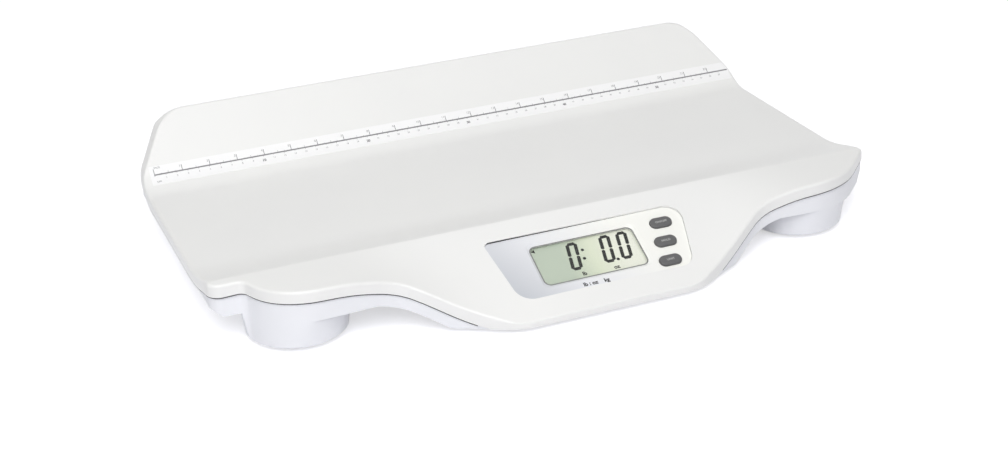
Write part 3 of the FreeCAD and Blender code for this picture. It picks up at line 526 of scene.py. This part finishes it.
glass_low, glass_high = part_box("lcd_glass")
display, shader = finish("liquid_crystal_glass", Roughness=0.22, IOR=1.5)
place = add_node(display, "ShaderNodeTexCoord").outputs["Object"]
x = add_node(display, "ShaderNodeSeparateXYZ", {"Vector": place}).outputs["X"]
across = add_node(display, "ShaderNodeMapRange",
                  {"Value": x, "From Min": glass_low.x, "From Max": glass_high.x})
blend = add_node(display, "ShaderNodeValToRGB", {"Fac": across.outputs["Result"]})
ramp = blend.color_ramp
ramp.elements[0].position, ramp.elements[0].color = SHADE_AT, linear(LCD_SHADE)
ramp.elements[1].position, ramp.elements[1].color = LIGHT_AT, linear(LCD_LIGHT)
middle = ramp.elements.new(HALF_AT)
middle.color = linear(LCD_MIDDLE)
display.node_tree.links.new(blend.outputs["Color"], shader.inputs["Base Color"])
paint(nodes["lcd_glass"], display)

window, shader = finish("clear_acrylic", Roughness=0.05, IOR=1.49, Alpha=0.02)
shader.inputs["Base Color"].default_value = linear(WINDOW_TINT)
paint(nodes["lcd_window"], window)

segment_black, shader = finish("driven_segment", Roughness=0.5, IOR=1.33)
shader.inputs["Base Color"].default_value = linear(SEGMENT_BLACK)


def joined(pieces, name):
    """One piece from several."""
    bpy.ops.object.select_all(action="DESELECT")
    for piece in pieces:
        piece.select_set(True)
    bpy.context.view_layer.objects.active = pieces[0]
    bpy.ops.object.join()
    pieces[0].name = pieces[0].data.name = name
    return pieces[0]


def moved_copy(piece, place):
    """A copy with its own mesh, at another place in the same plane."""
    other = piece.copy()
    other.data = piece.data.copy()
    bpy.context.collection.objects.link(other)
    other.location = (*place, piece.location.z)
    return settle(other)


def segment(length, centre, upright):
    """One display segment: a flat six-sided bar with pointed ends, leaning with the digit."""
    bpy.ops.mesh.primitive_circle_add(vertices=6, radius=SEGMENT / 2, fill_type="NGON")
    piece = bpy.context.active_object
    settle(piece)
    select_points(piece, lambda place: place.y > HAIR)
    bpy.ops.transform.translate(value=(0, length - SEGMENT, 0))
    bpy.ops.mesh.select_all(action="SELECT")
    bpy.ops.transform.translate(value=(0, (SEGMENT - length) / 2, 0))
    bpy.ops.mesh.extrude_region_move(TRANSFORM_OT_translate={"value": (0, 0, INK)})
    bpy.ops.object.mode_set(mode="OBJECT")
    piece.rotation_euler.z = -LEAN if upright else math.pi / 2
    piece.location = (centre[0] + centre[1] * math.tan(LEAN), centre[1], 0)
    return settle(piece)


half_tall = (DIGIT_TALL - SEGMENT) / 2
half_wide = (DIGIT_WIDE - SEGMENT) / 2
bars = [segment(half_tall / math.cos(LEAN) - SEGMENT_GAP,
                (side * half_wide, level * half_tall / 2), True)
        for side in (-1, 1) for level in (-1, 1)]
bars += [segment(2 * half_wide - SEGMENT_GAP, (0, level * half_tall), False)
         for level in (-1, 1)]
zero = joined(bars, "zero")
marks = [moved_copy(zero, place) for place in DIGITS]
bpy.data.objects.remove(zero)


def dot(place, size, sides, turn=0.0):
    """A small flat mark of the display, as thick as its segments."""
    bpy.ops.mesh.primitive_cylinder_add(vertices=sides, radius=size / 2, depth=INK,
                                        location=(*place, INK / 2), rotation=(0, 0, turn))
    return settle(bpy.context.active_object)


marks += [dot(place, DOT, DOT_SIDES) for place in (*COLON, POINT)]
marks.append(dot(POINTER, POINTER_SIZE, 3, POINTER_TURN))


def lettering(text, place, height, depth=INK, bold=0.0, align="CENTER"):
    """Plain lettering made a mesh, lying flat with its foot line at the given place."""
    bpy.ops.object.text_add(location=(*place, 0))
    words = bpy.context.active_object
    words.data.body = text
    words.data.size = height / CAPITAL
    words.data.align_x = align
    words.data.extrude = depth / 2
    words.data.offset = bold
    words.data.resolution_u = CURVE_STEPS
    bpy.ops.object.convert(target="MESH")
    return settle(bpy.context.active_object)


marks += [lettering(text, place, UNIT_TALL, bold=UNIT_BOLD) for text, place in UNITS]
figures = joined(marks, "display_figures")
figures.location.z = GLASS_FACE + INK / 2
on_console(figures)
paint(figures, segment_black)
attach(figures, "scale")


# Window border: a narrow grey frame on the window along the edge of the panel's opening. It is
# partly a screen printed border and partly painted shade, where the opening's edge throws shade.
# Its outer edge hides under the panel, and its corners are round like the opening's.

BORDER_GREY = "#7C7E7B"
BORDER_LIGHT = "#868885"
OPENING_LEFT, OPENING_RIGHT = -0.0365, 0.0575
OPENING_NEAR, OPENING_FAR = -0.0730, -0.0310
OPENING_R = 0.0060
CORNER_STEPS = 8
BORDER_OUT = 0.0004     # how far it goes under the panel
BORDER_WIDE = 0.0014
WINDOW_FACE = -0.0030   # below the console's surface

bpy.ops.mesh.primitive_plane_add(size=1, location=(
    (OPENING_LEFT + OPENING_RIGHT) / 2, (OPENING_NEAR + OPENING_FAR) / 2, 0))
border = bpy.context.active_object
border.name = border.data.name = "window_border"
border.scale = (OPENING_RIGHT - OPENING_LEFT + 2 * BORDER_OUT,
                OPENING_FAR - OPENING_NEAR + 2 * BORDER_OUT, 1)
settle(border)
bpy.ops.object.mode_set(mode="EDIT")
bpy.ops.mesh.select_mode(type="VERT")
bpy.ops.mesh.select_all(action="SELECT")
bpy.ops.mesh.bevel(offset=OPENING_R + BORDER_OUT, segments=CORNER_STEPS, affect="VERTICES")
bpy.ops.object.mode_set(mode="OBJECT")
select_faces(border, lambda middle, normal: True)
bpy.ops.mesh.inset(thickness=BORDER_WIDE)
bpy.ops.mesh.delete(type="FACE")
bpy.ops.mesh.select_all(action="SELECT")
bpy.ops.mesh.extrude_region_move(TRANSFORM_OT_translate={"value": (0, 0, INK)})
bpy.ops.object.mode_set(mode="OBJECT")
border.location.z = WINDOW_FACE
on_console(border)
# Partly print and partly painted shade along the edge of the display's opening.
paint(border, speckled("printed_border_and_painted_shade", BORDER_GREY, BORDER_LIGHT, roughness=0.5,
                       speck_mm=0.3))
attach(border, "scale")


# Fascia lettering: the units under the display, screen printed in black on the panel's film. The
# rest of the film is left plain.

PANEL_FACE = -0.0018    # below the console's surface
UNIT_LINE = "lb : oz    kg"
UNIT_LINE_PLACE = (0.0050, -0.0818)
UNIT_LINE_TALL = 0.0036
UNIT_LINE_BOLD = 0.00022
PRINT_BLACK = "#2A2A2C"
PRINT_THIN = "#3A3A3C"
SCREEN_MM = 0.3         # threads of the printing screen

print_black, shader = finish("screen_printed_ink", Roughness=0.5, IOR=1.5)
place = add_node(print_black, "ShaderNodeTexCoord").outputs["Object"]
threads = add_node(print_black, "ShaderNodeTexNoise", {"Vector": place,
                                                       "Scale": 1000 / SCREEN_MM})
tone = two_tone(print_black, threads.outputs["Fac"], PRINT_BLACK, PRINT_THIN)
print_black.node_tree.links.new(tone, shader.inputs["Base Color"])

unit_line = lettering(UNIT_LINE, UNIT_LINE_PLACE, UNIT_LINE_TALL, bold=UNIT_LINE_BOLD)
unit_line.location.z = PANEL_FACE
on_console(unit_line)
unit_line.name = unit_line.data.name = "unit_lettering"
paint(unit_line, print_black)
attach(unit_line, "scale")


# Keys: three pill-shaped caps moulded in dark grey ABS with a matt spark finish and crowned tops.
# Each stands in its hole with a flange under the cover and a stem over its silicone dome, and has
# its function printed on top in light grey.

KEY_GREY = "#575758"
KEY_GREY_LIGHT = "#616162"
KEY_LONG, KEY_WIDE = 0.0200, 0.0105
KEY_TOP = 0.0004        # above the console's surface
FLANGE = 0.0010
FLANGE_TOP = -0.0053
FLANGE_FOOT = -0.0063
STEM_FOOT = -0.0074
STEM = 0.0050
CROWN = 0.0013
CROWN_STEPS = 5
KEY_SIDES = 40
KEY_SMOOTH_BELOW = 35   # degrees
LEVEL = 0.9             # upward part of a level face's normal, at least
LEGEND_GREY = "#B4B4B3"
LEGEND_TALL = 0.0021
LEGEND_BOLD = 0.00005
KEYS = (("top", "ON/OFF", (0.0836, -0.0353)), ("middle", "HOLD", (0.0790, -0.0552)),
        ("bottom", "UNIT", (0.0744, -0.0751)))

key_abs = speckled("spark_finished_grey_abs", KEY_GREY, KEY_GREY_LIGHT, roughness=0.5,
                   speck_mm=0.5)
legend_ink, shader = finish("pad_printed_light_ink", Roughness=0.5, IOR=1.5)
shader.inputs["Base Color"].default_value = linear(LEGEND_GREY)


def key_cap(name):
    """Flange first, then the cap raised from it, and the stem drawn down from below."""
    bpy.ops.mesh.primitive_cylinder_add(
        vertices=KEY_SIDES, radius=KEY_WIDE / 2 + FLANGE, depth=FLANGE_TOP - FLANGE_FOOT,
        location=(0, 0, (FLANGE_FOOT + FLANGE_TOP) / 2), rotation=(0, 0, math.pi / KEY_SIDES))
    cap = settle(bpy.context.active_object)
    cap.name = cap.data.name = name
    select_points(cap, lambda place: place.x > 0)
    bpy.ops.transform.translate(value=(KEY_LONG - KEY_WIDE, 0, 0))
    bpy.ops.mesh.select_all(action="SELECT")
    bpy.ops.transform.translate(value=((KEY_WIDE - KEY_LONG) / 2, 0, 0))
    bpy.ops.object.mode_set(mode="OBJECT")
    select_faces(cap, lambda middle, normal: normal.z > LEVEL)
    bpy.ops.mesh.inset(thickness=FLANGE)
    bpy.ops.mesh.extrude_region_move(
        TRANSFORM_OT_translate={"value": (0, 0, KEY_TOP - FLANGE_TOP)})
    bpy.ops.mesh.bevel(offset=CROWN, segments=CROWN_STEPS, affect="EDGES")
    bpy.ops.object.mode_set(mode="OBJECT")
    select_faces(cap, lambda middle, normal: normal.z < -LEVEL)
    bpy.ops.mesh.inset(thickness=(KEY_WIDE + 2 * FLANGE - STEM) / 2)
    bpy.ops.transform.resize(value=(STEM / (KEY_LONG - KEY_WIDE + STEM), 1, 1))
    bpy.ops.mesh.extrude_region_move(
        TRANSFORM_OT_translate={"value": (0, 0, STEM_FOOT - FLANGE_FOOT)})
    bpy.ops.object.mode_set(mode="OBJECT")
    bpy.ops.object.shade_smooth_by_angle(angle=math.radians(KEY_SMOOTH_BELOW))
    return cap


for position, legend, centre in KEYS:
    cap = key_cap("key_cap_" + position)
    cap.location = (*centre, 0)
    on_console(cap)
    paint(cap, key_abs)
    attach(cap, "button_" + position)
    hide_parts("button_" + position)
    words = lettering(legend, (centre[0], centre[1] - LEGEND_TALL / 2), LEGEND_TALL,
                      bold=LEGEND_BOLD)
    words.location.z = KEY_TOP
    on_console(words)
    words.name = words.data.name = "key_legend_" + position
    paint(words, legend_ink)
    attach(words, "button_" + position)


# Measuring tape: a white polyester film glued along the foot of the back wall, printed in grey
# with inches above its line and centimetres below. The film is satin, duller than the cover.

FILM_WHITE = "#FDFDFD"
FILM_SHADE = "#FAFAFB"
FILM_ROUGHNESS = 0.45
FILM_WAVE_MM = 30.0
FILM_WAVE_DEPTH_MM = 0.01
TAPE_INK = "#7E7E80"
TAPE_INK_THIN = "#8C8C8E"
ZERO_X = -0.2867
LINE_END_X = 0.2937
LINE_Y, LINE_Z = 0.1424, 0.0555
FILM_SLOPE = math.radians(41.0)
LINE_WIDE = 0.0013
INCH, CENTIMETRE = 0.0254, 0.01
INCHES, CENTIMETRES = 22, 57        # the last marks of the two scales
INCH_TICK, HALF_TICK, QUARTER_TICK, CM_TICK = 0.0058, 0.0022, 0.0014, 0.0016
INCH_WIDE, TICK_WIDE, QUARTER_WIDE = 0.00055, 0.00028, 0.000224
INCH_FIGURE, CM_FIGURE, TEN_FIGURE = 0.0022, 0.0016, 0.0024
CM_FIGURE_Y, TEN_FIGURE_Y = -0.0040, -0.0051     # middles of the figures, from the line
TEN_BOLD = 0.00015
INCH_FIGURE_LEFT = 0.0008       # from the inch's tick to the end of its figure
LABEL_TALL = 0.0025
LABEL_IN = 0.0006               # from the zero tick
CM_LABEL_Y = -0.0080
PRINT_THICK = 0.00003
PRINT_OVER = 0.00002            # between the film's face and the print
PRINT_LIFT = 0.004              # how far above the film the print starts, before it is laid down

film = moulded_abs("satin_polyester_film", FILM_WHITE, FILM_SHADE, FILM_ROUGHNESS, FILM_WAVE_MM,
                   FILM_WAVE_DEPTH_MM)
tape = smoothed("measuring_tape", "measuring_film", "scale")
paint(tape, film)

tape_ink = speckled("grey_tape_ink", TAPE_INK, TAPE_INK_THIN, roughness=0.5, speck_mm=0.4)


def stroke(x, low, high, wide):
    """A flat printed stroke across the tape; low and high are measured from its line."""
    bpy.ops.mesh.primitive_plane_add(size=1, location=(x, (low + high) / 2, 0))
    mark = bpy.context.active_object
    mark.scale = (wide, high - low, 1)
    return settle(mark)


def flat_figure(text, place, height, bold=0.0, align="CENTER"):
    """Lettering without a thickness, which the whole print gets at its end."""
    return lettering(text, place, height, depth=0.0, bold=bold, align=align)


printed = [stroke((ZERO_X + LINE_END_X) / 2, -LINE_WIDE / 2, LINE_WIDE / 2, LINE_END_X - ZERO_X),
           stroke(ZERO_X, -CM_TICK, INCH_TICK, INCH_WIDE)]
for inch in range(1, INCHES + 1):
    x = ZERO_X + inch * INCH
    printed.append(stroke(x, 0, INCH_TICK, INCH_WIDE))
    printed.append(stroke(x - INCH / 2, 0, HALF_TICK, TICK_WIDE))
    printed += [stroke(x - INCH * part, 0, QUARTER_TICK, QUARTER_WIDE) for part in (0.25, 0.75)]
    printed.append(flat_figure(str(inch), (x - INCH_FIGURE_LEFT, INCH_TICK - INCH_FIGURE),
                               INCH_FIGURE, align="RIGHT"))
for centimetre in range(1, CENTIMETRES + 1):
    x = ZERO_X + centimetre * CENTIMETRE
    ten = centimetre % 10 == 0
    printed.append(stroke(x, -CM_TICK, 0, TICK_WIDE))
    tall = TEN_FIGURE if ten else CM_FIGURE
    foot = (TEN_FIGURE_Y if ten else CM_FIGURE_Y) - tall / 2
    printed.append(flat_figure(str(centimetre), (x, foot), tall, bold=TEN_BOLD if ten else 0.0))
printed.append(flat_figure("inch", (ZERO_X + LABEL_IN, INCH_TICK), LABEL_TALL, align="LEFT"))
printed.append(flat_figure("cm", (ZERO_X + LABEL_IN, CM_LABEL_Y), LABEL_TALL, align="LEFT"))

tape_print = joined(printed, "tape_print")
tape_print.rotation_euler.x = FILM_SLOPE
tape_print.location = (0, LINE_Y - PRINT_LIFT * math.sin(FILM_SLOPE),
                       LINE_Z + PRINT_LIFT * math.cos(FILM_SLOPE))
lay = tape_print.modifiers.new("lay", "SHRINKWRAP")
lay.target = tape
lay.wrap_method = "PROJECT"
lay.use_project_z = True
lay.use_negative_direction = True
lay.use_positive_direction = False
lay.offset = PRINT_OVER
thicken = tape_print.modifiers.new("thicken", "SOLIDIFY")
thicken.thickness = PRINT_THICK
thicken.offset = 1.0
bpy.ops.object.modifier_apply(modifier="lay")
bpy.ops.object.modifier_apply(modifier="thicken")
settle(tape_print)
paint(tape_print, tape_ink)
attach(tape_print, "scale")


# Stage: a plain white floor that keeps the shadow, under a pale sky with two large soft lamps.
# Eyes and reflections see floor and sky as a plain white background.

FLOOR_WHITE = "#F1F1F5"
FLOOR_SIZE = 14.0
FLOOR_BELOW = 0.0002    # so that the feet don't share its plane
FLOOR_GLOW = 0.5
SKY_LEVEL = 0.38
SIDE_LEVEL = 0.05       # the sky's light fades towards both ends of the scale
SIDE_STARTS, SIDE_FULL = 0.4, 0.95      # sideways part of the direction where it fades
KEY_PLACE = (-0.75, -1.6, 2.1)
KEY_POWER = 52.0
FILL_PLACE = (0.6, 0.8, 2.4)
FILL_POWER = 4.0
LAMP_SIZE = 2.0


def seen_directly(tree_owner):
    """The socket that is 1 for rays from the eye, from a reflection or through glass."""
    rays = add_node(tree_owner, "ShaderNodeLightPath").outputs
    eye_or_glossy = add_node(tree_owner, "ShaderNodeMath", {
        0: rays["Is Camera Ray"], 1: rays["Is Glossy Ray"]}, operation="MAXIMUM")
    return add_node(tree_owner, "ShaderNodeMath", {
        0: eye_or_glossy.outputs["Value"], 1: rays["Is Transmission Ray"]},
        operation="MAXIMUM").outputs["Value"]


bpy.ops.mesh.primitive_plane_add(size=FLOOR_SIZE, location=(0, 0, -FLOOR_BELOW))
floor = bpy.context.active_object
floor.name = "floor"
settle(floor)
pale, shader = finish("pale_floor", Roughness=0.9)
shader.inputs["Base Color"].default_value = linear(FLOOR_WHITE)
shader.inputs["Specular IOR Level"].default_value = 0.0
glow = add_node(pale, "ShaderNodeMath", {0: seen_directly(pale), 1: FLOOR_GLOW},
                operation="MULTIPLY")
shader.inputs["Emission Color"].default_value = (1, 1, 1, 1)
pale.node_tree.links.new(glow.outputs["Value"], shader.inputs["Emission Strength"])
paint(floor, pale)

world = bpy.data.worlds.new("studio")
bpy.context.scene.world = world
world.use_nodes = True
sky = world.node_tree.nodes["Background"]
sky.inputs["Color"].default_value = (1, 1, 1, 1)
way = add_node(world, "ShaderNodeTexCoord").outputs["Generated"]
along = add_node(world, "ShaderNodeSeparateXYZ", {"Vector": way}).outputs["X"]
sideways = add_node(world, "ShaderNodeMath", {0: along}, operation="ABSOLUTE")
level = add_node(world, "ShaderNodeMapRange", {
    "Value": sideways.outputs["Value"], "From Min": SIDE_STARTS, "From Max": SIDE_FULL,
    "To Min": SKY_LEVEL, "To Max": SIDE_LEVEL}, interpolation_type="SMOOTHSTEP")
shown = add_node(world, "ShaderNodeMix", {"Factor": seen_directly(world)}, data_type="FLOAT")
world.node_tree.links.new(level.outputs["Result"], shown.inputs["A"])
shown.inputs["B"].default_value = 1.0
world.node_tree.links.new(shown.outputs["Result"], sky.inputs["Strength"])


def lamp(name, place, power):
    """A large square soft lamp that looks at the origin."""
    bpy.ops.object.light_add(type="AREA", location=place,
                             rotation=(-Vector(place)).to_track_quat("-Z", "Y").to_euler())
    light = bpy.context.active_object
    light.name = name
    light.data.size = LAMP_SIZE
    light.data.energy = power


lamp("front_softbox", KEY_PLACE, KEY_POWER)
lamp("top_softbox", FILL_PLACE, FILL_POWER)


# Camera: in front and a little to the left, looking down by about 25 degrees. Its long lens keeps
# the perspective weak, and it is rolled a little.

CAMERA_PLACE = (-0.52797, -1.32428, 0.65545)
AZIMUTH = math.radians(-21.385)
ELEVATION = math.radians(24.673)
ROLL = math.radians(-2.538)
LENS_MM = 62.74

bpy.ops.object.camera_add(location=CAMERA_PLACE)
camera = bpy.context.active_object
camera.rotation_euler = (Matrix.Rotation(AZIMUTH, 3, "Z")
                         @ Matrix.Rotation(math.pi / 2 - ELEVATION, 3, "X")
                         @ Matrix.Rotation(ROLL, 3, "Z")).to_euler()
camera.data.lens = LENS_MM
bpy.context.scene.camera = camera
bpy.context.scene.view_settings.view_transform = "Standard"
